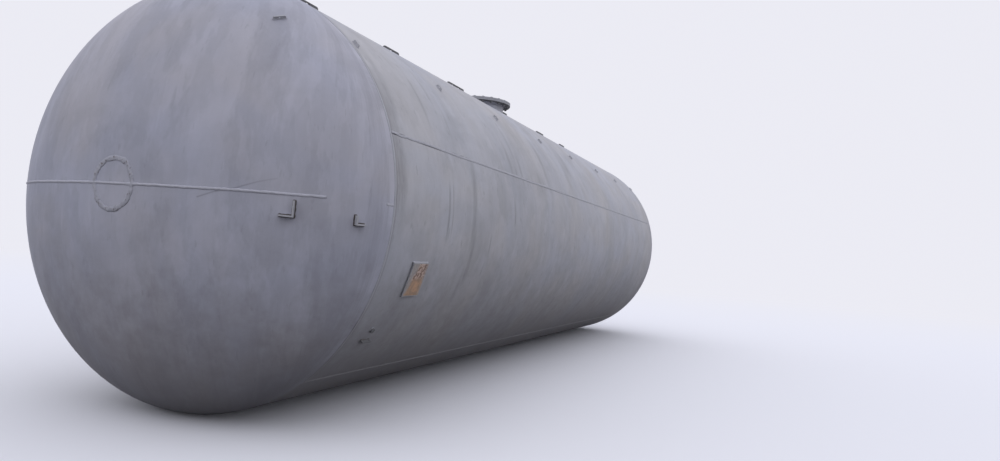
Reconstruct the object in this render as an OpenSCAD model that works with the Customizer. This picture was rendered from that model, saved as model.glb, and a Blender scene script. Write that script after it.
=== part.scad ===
// Horizontal welded steel pressure tank, lying on its belly.
// X runs along the tank, the side with the plate bracket faces -Y, and Z is up.
// The origin is on the floor below the middle of the tank.
// Angles round the tank are 0 at the front (-Y), 90 at the crown and -90 at the belly.

/* [Shell] */
// Outer diameter of the shell
shell_d = 3400; // [2400:10:3800]
// Length of the shell between the two girth welds
shell_len = 10000; // [9000:10:12000]
// Wall thickness of the shell plates
shell_t = 20; // [12:1:32]
// Angles of the lengthwise welds, in the order of the plates
seam_angles = [18, 108, 162, 232, 308];

/* [Dished ends] */
// Depth of each dished end, from its tangent line to its pole
head_depth = 850; // [600:10:1000]
// Length of the straight flange of each dished end
head_flange = 40; // [30:1:80]
// Wall thickness of the dished ends
head_t = 22; // [14:1:34]
// Distance from the rim at which the bead of the dished end's own weld begins
head_bead_from_rim = 240; // [200:10:800]
// Length of the bead that shows again beside the girth weld
rim_bead_l = 90; // [40:5:140]
// Radius of the round weld at the pole
pole_ring_r = 190; // [120:5:260]

/* [Welds] */
// Width of the butt welds
weld_w = 24; // [16:1:34]
// Height of the butt welds above the plates
weld_proud = 2.5; // [1.5:0.5:4]
// Width of the round weld at the pole
pole_weld_w = 26; // [16:1:36]
// Height of the round weld at the pole
pole_weld_proud = 6; // [3:0.5:9]

/* [Manway] */
// Place of the manway along the tank
manway_x = 80; // [0:10:180]
// Outer diameter of the manway neck
manway_neck_d = 640; // [560:5:660]
// Wall thickness of the manway neck
manway_neck_t = 14; // [8:1:24]
// How far the manway neck reaches inside the crown
manway_neck_in = 40; // [25:1:80]
// Height of the flange's lower face above the crown
manway_flange_h = 150; // [110:1:220]
// Diameter of the manway flange and cover
manway_flange_d = 840; // [800:5:900]
// Thickness of the manway flange
manway_flange_t = 22; // [16:1:50]
// Thickness of the manway cover
manway_cover_t = 20; // [14:1:50]
// Diameter of the manway bolt circle
manway_pcd = 766; // [740:1:775]
// Number of manway bolts
manway_bolts = 20; // [12:4:24]
// Diameter of the manway bolt holes
manway_hole_d = 26; // [18:1:30]
// Thickness of the gasket
gasket_t = 2; // [1.5:0.5:5]
// How far the gasket's edge lies inside the cover's edge
gasket_inset = 3; // [1:1:12]
// Diameter of the manway's reinforcing pad
manway_pad_d = 900; // [800:5:1000]

/* [Reinforcing pads] */
// Thickness of all reinforcing pads
pad_t = 16; // [8:1:24]

/* [Lugs along the crown] */
// Distance of the first and the last lug from their girth welds
lug_from_weld = 1000; // [900:10:1400]
// Places of the four lugs between them, as a share of the shell's length
inner_lug_places = [-0.248, -0.0795, 0.09, 0.268];
// Length of the first and the last lug
end_lug_l = 310; // [220:5:360]
// Lengths of the four lugs between them
inner_lug_ls = [330, 490, 330, 370];
// Height of the lugs' tops above the crown
lug_top_h = 226; // [222:1:300]
// Radius of the lugs' upper corners
lug_corner_r = 24; // [10:1:50]
// Thickness of the lugs
lug_t = 16; // [12:1:40]
// Diameter of the lugs' eyes
lug_eye_d = 84; // [40:1:90]
// Height of the eyes' middles above the crown
lug_eye_h = 175; // [150:1:178]
// Distance between the two eyes of the long lug
lug_eye_pitch = 180; // [140:5:240]
// How far a lug's pad reaches beyond each end of the lug
lug_pad_more = 70; // [40:5:100]
// Width of the lugs' pads round the tank
lug_pad_w = 220; // [160:5:400]

/* [Pipe clips] */
// Angle of the two rows of clips above the horizontal
clip_angle = 44.5; // [35:0.5:60]
// Distances of a row's clips from the nearer girth weld, the same on both halves
clip_from_weld = [70, 1435, 2805, 4300];
// Width of a clip round the tank
clip_w = 68; // [50:1:110]
// Height of a clip
clip_h = 24; // [20:1:60]
// Thickness of a clip
clip_t = 8; // [5:1:14]
// Diameter of the clip's hole
clip_hole_d = 12; // [8:1:14]
// Height of the clip's hole above the shell
clip_hole_h = 12.5; // [10:0.5:15]
// Corner cut of the clip
clip_corner = 7; // [3:1:10]

/* [Clip on each dished end] */
// Width of the clip on each dished end
head_clip_w = 90; // [60:1:120]
// Angle of the clip on each dished end
head_clip_angle = 54.5; // [45:0.5:65]
// Distance of this clip from the rim, towards the axis
head_clip_from_rim = 165; // [100:5:400]
// Turn of this clip from the line to the pole
head_clip_turn = 25; // [0:1:90]

/* [Angle brackets on the near end] */
// Standing height of the angle brackets
bracket_h = 50; // [30:1:80]
// Thickness of the angle brackets
bracket_t = 10; // [5:1:12]
// Turn of both angle brackets from the line to the pole
bracket_turn = -4; // [-15:0.5:15]
// Distance of the inner bracket from the rim, towards the axis
inner_bracket_from_rim = 395; // [350:5:550]
// Angle of the inner bracket's corner
inner_bracket_angle = -6.6; // [-12:0.1:-5]
// Upright leg of the inner bracket
inner_bracket_up = 110; // [60:1:130]
// Foot of the inner bracket
inner_bracket_foot = 96; // [60:1:140]
// Distance of the outer bracket from the rim, towards the axis
outer_bracket_from_rim = 100; // [60:5:200]
// Angle of the outer bracket's corner
outer_bracket_angle = -6; // [-12:0.1:-4]
// Upright leg of the outer bracket
outer_bracket_up = 65; // [40:1:100]
// Foot of the outer bracket
outer_bracket_foot = 68; // [50:1:110]

/* [Plate bracket] */
// Distance of the plate bracket's middle from the near girth weld
plate_from_weld = 528; // [300:1:1500]
// Angle of the plate bracket's middle
plate_angle = -18.3; // [-30:0.1:-5]
// Width of the plate bracket along the tank
plate_w = 244; // [180:1:400]
// Height of the plate bracket round the tank
plate_h = 280; // [200:1:360]
// Height of the bracket's face above the shell
plate_off = 12; // [10:1:90]
// Sheet thickness of the bracket
plate_t = 5; // [3:0.5:8]
// Width of the bare plate
blank_w = 232; // [130:1:240]
// Height of the bare plate
blank_h = 264; // [140:1:275]
// Thickness of the bare plate
blank_t = 3; // [1.5:0.5:4]
// How far the bare plate sits off the bracket's middle, away from the near end
blank_shift = 2; // [0:1:30]

/* [Earthing lug] */
// Distance of the earthing lug from the near girth weld
earth_from_weld = 268; // [120:1:900]
// Angle of the earthing lug
earth_angle = -36.5; // [-45:0.1:-30]
// Length of the earthing lug along the tank
earth_l = 120; // [80:1:200]
// Height of the earthing lug
earth_h = 30; // [20:1:80]
// Thickness of the earthing lug
earth_t = 8; // [6:1:14]
// Diameter of the earthing lug's holes
earth_hole_d = 9; // [6:1:14]
// Distance between the earthing lug's holes
earth_pitch = 70; // [40:1:80]
// Angle of the round boss above the earthing lug
boss_angle = -33.2; // [-34.5:0.1:-28]
// Diameter of the round boss
boss_d = 40; // [25:1:60]
// Height of the round boss
boss_h = 18; // [8:1:50]

/* [Hidden] */
// Clearance where a piece sits on a curved surface
seat_gap = 0.3;
// Smoothness of the round parts
$fn = 192;
// Steps in the outline of the dished ends
head_steps = 48;
// Longer than anything that a cut has to pass
far = 2 * shell_d;
// Depth that a piece starts below its seat before it is cut to the curve
sink = 60;

shell_r = shell_d / 2;
axis_h = shell_r + weld_proud;
girth_x = shell_len / 2;
tangent_x = girth_x + head_flange;
plate_len = shell_len - weld_w;
groove_half = asin(weld_w / 2 / shell_r);
pad_seat_r = shell_r + seat_gap;
pad_top_r = pad_seat_r + pad_t;
manway_face_r = shell_r + manway_flange_h + manway_flange_t;
manway_bore_d = manway_neck_d + 2 * seat_gap;
lug_x = girth_x - lug_from_weld;
inner_lug_xs = shell_len * inner_lug_places;
long_lug_eyes = [-lug_eye_pitch / 2, lug_eye_pitch / 2];
bead_reach = shell_r - head_bead_from_rim;
rim_bead_x = girth_x + weld_w / 2 + seat_gap;
seam_last = len(seam_angles) - 1;

// Direction of an angle round the tank, in the plane across it
function around(a) = [-cos(a), sin(a)];
// Where the surface of a dished end lies at a distance r from the axis
function head_x(r) = head_depth * sqrt(1 - pow(r / shell_r, 2));
// How far the surface of a dished end leans away from the axis there
function head_lean(r) = atan2(r * pow(head_depth, 2), head_x(r) * pow(shell_r, 2));
// Height of a weld's round cap from its width and its proud height
function cap_r(w, proud) = (pow(w / 2, 2) + pow(proud, 2)) / (2 * proud);

// Stands a drawing of the cross section up along the tank
module along(length) {
    translate([0, 0, axis_h]) rotate([90, 0, 90]) linear_extrude(height = length, center = true)
        children();
}

// Puts a piece on the shell: its Z points away from the axis, its Y to larger angles
module on_shell(x, a) {
    translate([x, 0, axis_h]) rotate([90 - a, 0, 0]) children();
}

// Puts a piece on the far dished end: its Z points out of the surface, its X to the pole
module on_head(r, a) {
    translate([tangent_x, 0, axis_h]) rotate([90 - a, 0, 0])
        translate([head_x(r), 0, r]) rotate([0, 90 - head_lean(r), 0]) children();
}

// Wedge of the cross section from angle a to angle b
module wedge(a, b) {
    polygon([[0, 0], far * around(a), far * around((a + b) / 2), far * around(b)]);
}

// Solid round bar along the tank's axis
module axis_bar(r) {
    rotate([0, 90, 0]) cylinder(h = 2 * tangent_x, r = r, center = true);
}

// Quarter of an ellipse with its half axes r and depth, from the rim to the pole
function quarter_ellipse(r, depth) =
    [for (i = [0 : head_steps]) let (q = 90 * i / head_steps) [r * cos(q), depth * sin(q)]];
// The same points from the pole back to the rim
function back_to_rim(points) = [for (i = [len(points) - 1 : -1 : 0]) points[i]];

// Ellipsoidal bowl of wall thickness t about the tank's axis, with a straight flange
module ellipse_bowl(r, depth, t, flange) {
    rotate([0, 90, 0]) rotate_extrude()
        polygon(concat(
            [[r, -flange]],
            quarter_ellipse(r, depth),
            back_to_rim(quarter_ellipse(r - t, depth - t)),
            [[r - t, -flange]]
        ));
}

// Dished end on the far side, from the girth weld to the pole
module dished_end() {
    color("slategray") translate([tangent_x, 0, axis_h])
        ellipse_bowl(shell_r, head_depth, head_t, head_flange - weld_w / 2);
}

// Thin skin that follows the dished end, from which its weld beads are cut
module head_skin(proud) {
    translate([tangent_x, 0, axis_h])
        ellipse_bowl(shell_r + proud, head_depth + proud, proud - seat_gap, head_flange);
}

// Tube about the axis that holds the round weld at the pole, wider by extra on both sides
module pole_tube(extra) {
    half_w = pole_weld_w / 2 + extra;
    translate([tangent_x, 0, axis_h]) rotate([0, 90, 0]) difference() {
        cylinder(h = 2 * head_depth, r = pole_ring_r + half_w);
        translate([0, 0, -1]) cylinder(h = 2 * head_depth + 2, r = pole_ring_r - half_w);
    }
}

// Bead across the dished end, level with the axis and broken by the round weld.
// It is ground flush towards the rim and shows again beside the girth weld.
module head_weld() {
    color("dimgray") difference() {
        intersection() {
            head_skin(weld_proud);
            union() {
                translate([tangent_x, -bead_reach, axis_h - weld_w / 2])
                    cube([2 * head_depth, 2 * bead_reach, weld_w]);
                translate([rim_bead_x, -far / 2, axis_h - weld_w / 2])
                    cube([rim_bead_l, far, weld_w]);
            }
        }
        pole_tube(seat_gap);
    }
}

// Round bead at the pole
module pole_weld() {
    color("dimgray") intersection() {
        head_skin(pole_weld_proud);
        pole_tube(0);
    }
}

// One long shell plate between two of the lengthwise welds
module shell_plate(a, b) {
    color("slategray") along(plate_len) intersection() {
        difference() {
            circle(r = shell_r);
            circle(r = shell_r - shell_t);
        }
        wedge(a + groove_half, b - groove_half);
    }
}

// The plate that carries the manway, with an upright hole for its neck
module crown_plate() {
    color("slategray") difference() {
        shell_plate(seam_angles[0], seam_angles[1]);
        translate([manway_x, 0, axis_h]) cylinder(h = far, d = manway_bore_d);
    }
}

// Butt weld along the tank at angle a, with a round cap
module long_weld(a) {
    round_r = cap_r(weld_w, weld_proud);
    color("dimgray") along(plate_len) intersection() {
        wedge(a - groove_half, a + groove_half);
        difference() {
            union() {
                circle(r = shell_r);
                translate((shell_r + weld_proud - round_r) * around(a)) circle(r = round_r);
            }
            circle(r = shell_r - shell_t);
        }
    }
}

// Butt weld round the tank on the far side, with a round cap
module girth_weld() {
    round_r = cap_r(weld_w, weld_proud);
    color("dimgray") translate([girth_x, 0, axis_h]) rotate([0, 90, 0]) rotate_extrude()
        intersection() {
            translate([shell_r - shell_t, -weld_w / 2]) square([shell_t + weld_proud, weld_w]);
            union() {
                translate([0, -weld_w / 2]) square([shell_r, weld_w]);
                translate([shell_r + weld_proud - round_r, 0]) circle(r = round_r);
            }
        }
}

// Round reinforcing pad bent to the shell, with a hole for the neck
module manway_pad() {
    color("gray") difference() {
        intersection() {
            translate([manway_x, 0, axis_h]) cylinder(h = far, d = manway_pad_d);
            translate([0, 0, axis_h]) axis_bar(pad_top_r);
        }
        translate([0, 0, axis_h]) axis_bar(pad_seat_r);
        translate([manway_x, 0, axis_h]) cylinder(h = far, d = manway_bore_d);
    }
}

// Neck that passes through the shell; its lower end is cut to the shell's curve
module manway_neck() {
    color("slategray") translate([0, 0, axis_h]) difference() {
        translate([manway_x, 0, shell_r / 2])
            cylinder(h = manway_face_r - seat_gap - shell_r / 2, d = manway_neck_d);
        translate([manway_x, 0, 0]) cylinder(h = far, d = manway_neck_d - 2 * manway_neck_t);
        axis_bar(shell_r - shell_t - manway_neck_in);
    }
}

// Holes of the manway's bolt circle
module bolt_holes() {
    for (i = [0 : manway_bolts - 1])
        rotate([0, 0, 360 * (i + 0.5) / manway_bolts]) translate([manway_pcd / 2, 0, 0])
            cylinder(h = far, d = manway_hole_d, center = true);
}

// Flat ring flange round the top of the neck
module manway_flange() {
    color("darkgray") translate([manway_x, 0, axis_h + manway_face_r]) difference() {
        translate([0, 0, -manway_flange_t]) cylinder(h = manway_flange_t, d = manway_flange_d);
        cylinder(h = far, d = manway_bore_d, center = true);
        bolt_holes();
    }
}

// Thin ring between the flange and the cover
module manway_gasket() {
    color("black") translate([manway_x, 0, axis_h + manway_face_r]) difference() {
        cylinder(h = gasket_t, d = manway_flange_d - 2 * gasket_inset);
        cylinder(h = far, d = manway_bore_d, center = true);
        bolt_holes();
    }
}

// Flat cover bolted on the flange
module manway_cover() {
    color("darkgray") translate([manway_x, 0, axis_h + manway_face_r + gasket_t]) difference() {
        cylinder(h = manway_cover_t, d = manway_flange_d);
        bolt_holes();
    }
}

// Lug: an upright plate along the tank with rounded upper corners and an eye at each of the places
module lug(x, lug_l, eye_xs) {
    seat_r = pad_top_r + seat_gap;
    top_r = shell_r + lug_top_h;
    color("gray") difference() {
        translate([x, 0, axis_h]) rotate([90, 0, 0])
            linear_extrude(height = lug_t, center = true) difference() {
                union() {
                    translate([-lug_l / 2, seat_r - sink])
                        square([lug_l, top_r - lug_corner_r - seat_r + sink]);
                    translate([lug_corner_r - lug_l / 2, seat_r])
                        square([lug_l - 2 * lug_corner_r, top_r - seat_r]);
                    for (s = [-1, 1])
                        translate([s * (lug_l / 2 - lug_corner_r), top_r - lug_corner_r])
                            circle(r = lug_corner_r);
                }
                for (eye_x = eye_xs)
                    translate([eye_x, shell_r + lug_eye_h]) circle(d = lug_eye_d);
            }
        translate([0, 0, axis_h]) axis_bar(seat_r);
    }
}

// Pad under a lug, bent to the shell
module lug_pad(x, lug_l) {
    pad_l = lug_l + 2 * lug_pad_more;
    color("gray") difference() {
        intersection() {
            translate([x - pad_l / 2, -lug_pad_w / 2, axis_h]) cube([pad_l, lug_pad_w, far]);
            translate([0, 0, axis_h]) axis_bar(pad_top_r);
        }
        translate([0, 0, axis_h]) axis_bar(pad_seat_r);
    }
}

// Flat clip of width w with cut corners, drawn with its seat at the origin
module clip_outline(w) {
    difference() {
        polygon([
            [-w / 2, -sink], [w / 2, -sink], [w / 2, clip_h - clip_corner],
            [w / 2 - clip_corner, clip_h], [clip_corner - w / 2, clip_h], [-w / 2, clip_h - clip_corner]
        ]);
        translate([0, clip_hole_h]) circle(d = clip_hole_d);
    }
}

// A row of clips along the shell at angle a
module clip_row(a) {
    color("dimgray") difference() {
        for (s = [-1, 1], from_weld = clip_from_weld)
            on_shell(s * (girth_x - from_weld), a) translate([0, 0, shell_r])
                rotate([90, 0, 90]) linear_extrude(height = clip_t, center = true)
                    clip_outline(clip_w);
        translate([0, 0, axis_h]) axis_bar(pad_seat_r);
    }
}

// Solid form of the far dished end, which trims what is welded on it
module head_form() {
    translate([tangent_x, 0, axis_h]) rotate([0, 90, 0]) rotate_extrude()
        polygon(concat(
            [[0, -head_depth], [shell_r + seat_gap, -head_depth]],
            quarter_ellipse(shell_r + seat_gap, head_depth + seat_gap)
        ));
}

// The clip on the front of the far dished end
module head_clip() {
    color("dimgray") difference() {
        on_head(shell_r - head_clip_from_rim, head_clip_angle) rotate([90, 0, head_clip_turn])
            linear_extrude(height = clip_t, center = true) clip_outline(head_clip_w);
        head_form();
    }
}

// Angle bracket welded on end, with its corner at the origin and its foot along X
module angle_bracket(up, foot) {
    translate([0, 0, -sink]) linear_extrude(height = bracket_h + sink)
        polygon([
            [0, 0], [foot, 0], [foot, bracket_t], [bracket_t, bracket_t], [bracket_t, up], [0, up]
        ]);
}

// The pair of angle brackets, drawn on the far end and mirrored to the near one
module angle_brackets() {
    color("dimgray") mirror([1, 0, 0]) difference() {
        union() {
            on_head(shell_r - inner_bracket_from_rim, inner_bracket_angle)
                rotate([0, 0, bracket_turn]) angle_bracket(inner_bracket_up, inner_bracket_foot);
            on_head(shell_r - outer_bracket_from_rim, outer_bracket_angle)
                rotate([0, 0, bracket_turn]) mirror([1, 0, 0])
                    angle_bracket(outer_bracket_up, outer_bracket_foot);
        }
        head_form();
    }
}

// Folded bracket that holds the plate off the shell; its legs run along its upper and lower edges
module plate_bracket() {
    color("gray") difference() {
        on_shell(plate_from_weld - girth_x, plate_angle) difference() {
            translate([-plate_w / 2, -plate_h / 2, shell_r - sink])
                cube([plate_w, plate_h, sink + plate_off]);
            translate([-plate_w, plate_t - plate_h / 2, shell_r - 2 * sink])
                cube([2 * plate_w, plate_h - 2 * plate_t, 2 * sink + plate_off - plate_t]);
        }
        translate([0, 0, axis_h]) axis_bar(pad_seat_r);
    }
}

// Bare plate on the bracket
module bare_plate() {
    color("silver") on_shell(plate_from_weld - girth_x, plate_angle)
        translate([blank_shift - blank_w / 2, -blank_h / 2, shell_r + plate_off])
            cube([blank_w, blank_h, blank_t]);
}

// Flat lug with two holes along the tank, and the round boss above it
module earthing_lug() {
    color("dimgray") difference() {
        union() {
            on_shell(earth_from_weld - girth_x, earth_angle)
                translate([-earth_l / 2, -earth_t / 2, shell_r - sink])
                    cube([earth_l, earth_t, sink + earth_h]);
            on_shell(earth_from_weld - girth_x, boss_angle)
                translate([0, 0, shell_r - sink]) cylinder(h = sink + boss_h, d = boss_d);
        }
        translate([0, 0, axis_h]) axis_bar(pad_seat_r);
        for (s = [-1, 1])
            on_shell(earth_from_weld - girth_x + s * earth_pitch / 2, earth_angle)
                translate([0, 0, shell_r + earth_h / 2]) rotate([90, 0, 0])
                    cylinder(h = 4 * earth_t, d = earth_hole_d, center = true);
    }
}

mirror([1, 0, 0]) dished_end();  // near_head
dished_end();  // far_head
crown_plate();
shell_plate(seam_angles[1], seam_angles[2]);  // rear_crown_plate
shell_plate(seam_angles[2], seam_angles[3]);  // rear_side_plate
shell_plate(seam_angles[3], seam_angles[4]);  // belly_plate
shell_plate(seam_angles[4], seam_angles[0] + 360);  // front_side_plate
mirror([1, 0, 0]) girth_weld();  // near_girth_weld
girth_weld();  // far_girth_weld
long_weld(seam_angles[0]);  // front_upper_weld
long_weld(seam_angles[1]);  // crown_weld
long_weld(seam_angles[2]);  // rear_upper_weld
long_weld(seam_angles[3]);  // rear_lower_weld
long_weld(seam_angles[4]);  // front_lower_weld
mirror([1, 0, 0]) head_weld();  // near_head_weld
head_weld();  // far_head_weld
mirror([1, 0, 0]) pole_weld();  // near_pole_weld
pole_weld();  // far_pole_weld
manway_pad();
manway_neck();
manway_flange();
manway_gasket();
manway_cover();
lug(-lug_x, end_lug_l, [0]);  // near_lug
lug(inner_lug_xs[0], inner_lug_ls[0], [0]);  // second_lug
lug(inner_lug_xs[1], inner_lug_ls[1], long_lug_eyes);  // third_lug
lug(inner_lug_xs[2], inner_lug_ls[2], [0]);  // fourth_lug
lug(inner_lug_xs[3], inner_lug_ls[3], [0]);  // fifth_lug
lug(lug_x, end_lug_l, [0]);  // far_lug
lug_pad(-lug_x, end_lug_l);  // near_lug_pad
lug_pad(inner_lug_xs[0], inner_lug_ls[0]);  // second_lug_pad
lug_pad(inner_lug_xs[1], inner_lug_ls[1]);  // third_lug_pad
lug_pad(inner_lug_xs[2], inner_lug_ls[2]);  // fourth_lug_pad
lug_pad(inner_lug_xs[3], inner_lug_ls[3]);  // fifth_lug_pad
lug_pad(lug_x, end_lug_l);  // far_lug_pad
clip_row(clip_angle);  // front_clips
clip_row(180 - clip_angle);  // rear_clips
mirror([1, 0, 0]) head_clip();  // near_head_clip
head_clip();  // far_head_clip
angle_brackets();
plate_bracket();
bare_plate();
earthing_lug();
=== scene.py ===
import math
import random

import bpy
from mathutils import Matrix, Vector, noise


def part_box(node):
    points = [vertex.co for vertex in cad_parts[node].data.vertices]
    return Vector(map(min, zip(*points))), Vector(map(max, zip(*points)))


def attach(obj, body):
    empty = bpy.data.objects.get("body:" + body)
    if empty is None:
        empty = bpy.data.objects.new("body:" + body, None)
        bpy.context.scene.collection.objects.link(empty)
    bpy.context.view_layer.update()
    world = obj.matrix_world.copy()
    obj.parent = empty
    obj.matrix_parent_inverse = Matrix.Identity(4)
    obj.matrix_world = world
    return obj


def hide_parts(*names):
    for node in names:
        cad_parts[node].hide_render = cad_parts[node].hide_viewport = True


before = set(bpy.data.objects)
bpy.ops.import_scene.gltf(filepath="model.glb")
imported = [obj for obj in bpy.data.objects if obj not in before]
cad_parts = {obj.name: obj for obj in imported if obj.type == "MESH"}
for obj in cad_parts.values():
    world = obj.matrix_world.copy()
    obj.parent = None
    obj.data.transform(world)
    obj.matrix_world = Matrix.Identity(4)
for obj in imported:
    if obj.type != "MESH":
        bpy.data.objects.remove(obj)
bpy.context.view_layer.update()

# Sizes of the tank, in metres, as the frame has them. Angles are in degrees and go round the tank from
# the front (0) over the crown (90)
SHELL_R = 1.7
AXIS_H = 1.7025
TANGENT_X = 5.04
GIRTH_X = 5.0
HEAD_DEPTH = 0.85
POLE_RING_R = 0.178
PAD_SEAT = SHELL_R + 0.0003
PAD_TOP = PAD_SEAT + 0.016
NEAR, FAR = -1, 1
ENDS = [("near", NEAR), ("far", FAR)]

# The lengthwise welds of the shell: name, angle
SEAMS = [("front_upper", 18), ("crown", 108), ("rear_upper", 162), ("rear_lower", 232),
         ("front_lower", 308)]

MANWAY_X, NECK_R, MANWAY_PAD_R = 0.08, 0.320, 0.450
BOLT_CIRCLE, BOLT_COUNT = 0.766, 20

# The lugs along the crown: name, place along the tank, length
LUGS = [("near_lug", -4.0, 0.31), ("second_lug", -2.48, 0.33), ("third_lug", -0.795, 0.49),
        ("fourth_lug", 0.90, 0.33), ("fifth_lug", 2.68, 0.37), ("far_lug", 4.0, 0.31)]
# How thick a lug is, how much longer its pad is, and how wide the pad is
LUG_THICK, PAD_MORE, PAD_WIDTH = 0.016, 0.14, 0.22

# Places of the clips along the tank, the same on both halves and on both sides
CLIP_PLACES = [0.70, 2.195, 3.565, 4.93]
CLIP_ROWS = [("front", 44.5), ("rear", 135.5)]
CLIP_FOOT = (0.008, 0.068)
# The clip on each dished end: distance from the axis, angle, how far it is turned in the surface
HEAD_CLIP_R, HEAD_CLIP_ANGLE, HEAD_CLIP_TURN = 1.535, 54.5, 25
HEAD_CLIP_FOOT = (0.090, 0.008)

# The angle brackets on the near dished end: distance from the axis, angle, length of the upright and of
# the flat leg, whether it is mirrored
ANGLE_BRACKETS = [(1.305, -6.6, 0.110, 0.096, False), (1.600, -6.0, 0.065, 0.068, True)]
BRACKET_THICK, BRACKET_TURN = 0.010, -4

# The bare plate and its bracket: place, angle, half the distance between the legs, length of a leg
PLATE_X, PLATE_ANGLE, LEG_OFF, LEG_LENGTH = -4.472, -18.3, 0.140, 0.242
# The earthing lug: place, angle, half its thickness as an angle, length, angle of its boss
EARTHING_X, EARTHING_ANGLE, EARTHING_HALF, EARTHING_LENGTH = -4.732, -36.5, 0.16, 0.118
BOSS_ANGLE = -33.2

# How far the middle of a fillet bead lies out of its corner, on the crown and on small fittings
CROWN_OUT, SMALL_OUT = 0.003, 0.0015
# How far the middle of a bead lies above the surface that carries it
BEAD_LIFT = 0.001
# The bead across a dished end: how far it reaches from the pole, its radius, how much of that stands out
BEAD_REACH, BEAD_R, BEAD_RISE = 1.46, 0.0095, 0.6
# Its stub beside the girth weld: where it starts, its length, how much of its height is left
STUB_START, STUB_LENGTH, STUB_RISE = 0.0123, 0.090, 0.33
# The beads on the shell: half width, how much of it stands out on the lengthwise and on the girth ones
WELD_HALF, SEAM_RISE, GIRTH_RISE = 0.0125, 0.23, 0.16
# How far a lengthwise bead stops short of the girth weld's middle, and how long its unsteady start is
SEAM_GAP, UNSTEADY = 0.012, 0.7
POLE_BEAD_R, POLE_RISE = 0.0165, 0.30


# ---- Camera, floor and light

def stand_camera():
    """The view along the front from before the near end, turned as far as the tank has rolled."""
    lens = bpy.data.cameras.new("Camera")
    lens.lens, lens.sensor_width = 25.93, 36.0
    lens.clip_start, lens.clip_end = 0.05, 400.0
    camera = bpy.data.objects.new("Camera", lens)
    camera.location = (-9.4323, -4.3316, 1.4147)
    camera.rotation_euler = [math.radians(a) for a in (91.8406, -4.1875, -67.8726)]
    bpy.context.scene.collection.objects.link(camera)
    bpy.context.scene.camera = camera
    bpy.context.scene.view_settings.view_transform = "Standard"


def add(tree, kind, sockets=None, **settings):
    """One shader node with its settings; each input is linked or set."""
    made = tree.nodes.new(kind)
    for name, value in settings.items():
        setattr(made, name, value)
    for name, value in (sockets or {}).items():
        if isinstance(value, bpy.types.NodeSocket):
            tree.links.new(value, made.inputs[name])
        else:
            made.inputs[name].default_value = value
    return made


def sums(tree, operation, *values):
    """Result of a math node."""
    return add(tree, "ShaderNodeMath", dict(enumerate(values)), operation=operation).outputs[0]


def times(tree, a, b):
    return sums(tree, "MULTIPLY", a, b)


def plus(tree, a, b):
    return sums(tree, "ADD", a, b)


def minus(tree, a, b):
    return sums(tree, "SUBTRACT", a, b)


def larger(tree, a, b):
    return sums(tree, "MAXIMUM", a, b)


def seen_directly(tree):
    """1 for rays from the camera, and for those that gloss or glass sends on."""
    path = add(tree, "ShaderNodeLightPath").outputs
    seen = larger(tree, path["Is Camera Ray"], path["Is Glossy Ray"])
    return larger(tree, seen, path["Is Transmission Ray"])


BACKDROP = (0.835, 0.835, 0.905, 1)


def light_sky():
    """Even light from an overcast sky, which the camera sees as a plain backdrop."""
    world = bpy.data.worlds.new("Overcast")
    world.use_nodes = True
    tree = world.node_tree
    tree.nodes.clear()
    sky = add(tree, "ShaderNodeBackground", {"Color": (0.97, 0.985, 1.04, 1), "Strength": 1.0})
    shown = add(tree, "ShaderNodeBackground", {"Color": BACKDROP, "Strength": 1.0})
    mixed = add(tree, "ShaderNodeMixShader",
                {0: seen_directly(tree), 1: sky.outputs[0], 2: shown.outputs[0]})
    add(tree, "ShaderNodeOutputWorld", {"Surface": mixed.outputs[0]})
    bpy.context.scene.world = world


def lay_floor():
    """A floor that lights the belly like dark earth and shows pale, fading into the backdrop."""
    bpy.ops.mesh.primitive_circle_add(vertices=96, radius=160, fill_type="NGON", location=(0, 0, -0.002))
    floor = bpy.context.object
    floor.name = "floor"
    bpy.ops.object.transform_apply(location=True)
    finish, tree = begin("pale_floor")
    place = add(tree, "ShaderNodeTexCoord").outputs["Object"]
    reach = add(tree, "ShaderNodeVectorMath", {0: place}, operation="LENGTH").outputs["Value"]
    away = add(tree, "ShaderNodeMapRange",
               {"Value": reach, "From Min": 11.0, "From Max": 30.0}).outputs[0]
    pale = add(tree, "ShaderNodeBsdfDiffuse", {"Color": (0.84, 0.84, 0.90, 1)})
    plain = add(tree, "ShaderNodeEmission", {"Color": BACKDROP, "Strength": 1.0})
    earth = add(tree, "ShaderNodeBsdfDiffuse", {"Color": (0.06, 0.056, 0.053, 1)})
    shown = add(tree, "ShaderNodeMixShader", {0: away, 1: pale.outputs[0], 2: plain.outputs[0]})
    mixed = add(tree, "ShaderNodeMixShader",
                {0: seen_directly(tree), 1: earth.outputs[0], 2: shown.outputs[0]})
    add(tree, "ShaderNodeOutputMaterial", {"Surface": mixed.outputs[0]})
    floor.data.materials.append(finish)


# ---- Finishes

def begin(name):
    """Opens a finish with an empty node tree."""
    finish = bpy.data.materials.new(name)
    finish.use_nodes = True
    tree = finish.node_tree
    tree.nodes.clear()
    return finish, tree


def end(tree, colour, rough, height, metallic=0.0, specular=0.35, bump=1.0, reach=0.002):
    """Closes a finish: colour, roughness and surface relief go into the shader."""
    relief = add(tree, "ShaderNodeBump", {"Height": height, "Strength": bump, "Distance": reach})
    skin = add(tree, "ShaderNodeBsdfPrincipled", {
        "Base Color": colour, "Roughness": rough, "Normal": relief.outputs[0],
        "Metallic": metallic, "Specular IOR Level": specular})
    add(tree, "ShaderNodeOutputMaterial", {"Surface": skin.outputs[0]})


def patches(tree, place, scale, detail=3.0, rough=0.55, stretch=(1, 1, 1), shift=(0, 0, 0), twist=0.0):
    """Noise from 0 to 1 on the given coordinates."""
    moved = add(tree, "ShaderNodeMapping", {"Vector": place, "Scale": stretch, "Location": shift})
    return add(tree, "ShaderNodeTexNoise", {
        "Vector": moved.outputs[0], "Scale": scale, "Detail": detail,
        "Roughness": rough, "Distortion": twist}).outputs[0]


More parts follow.
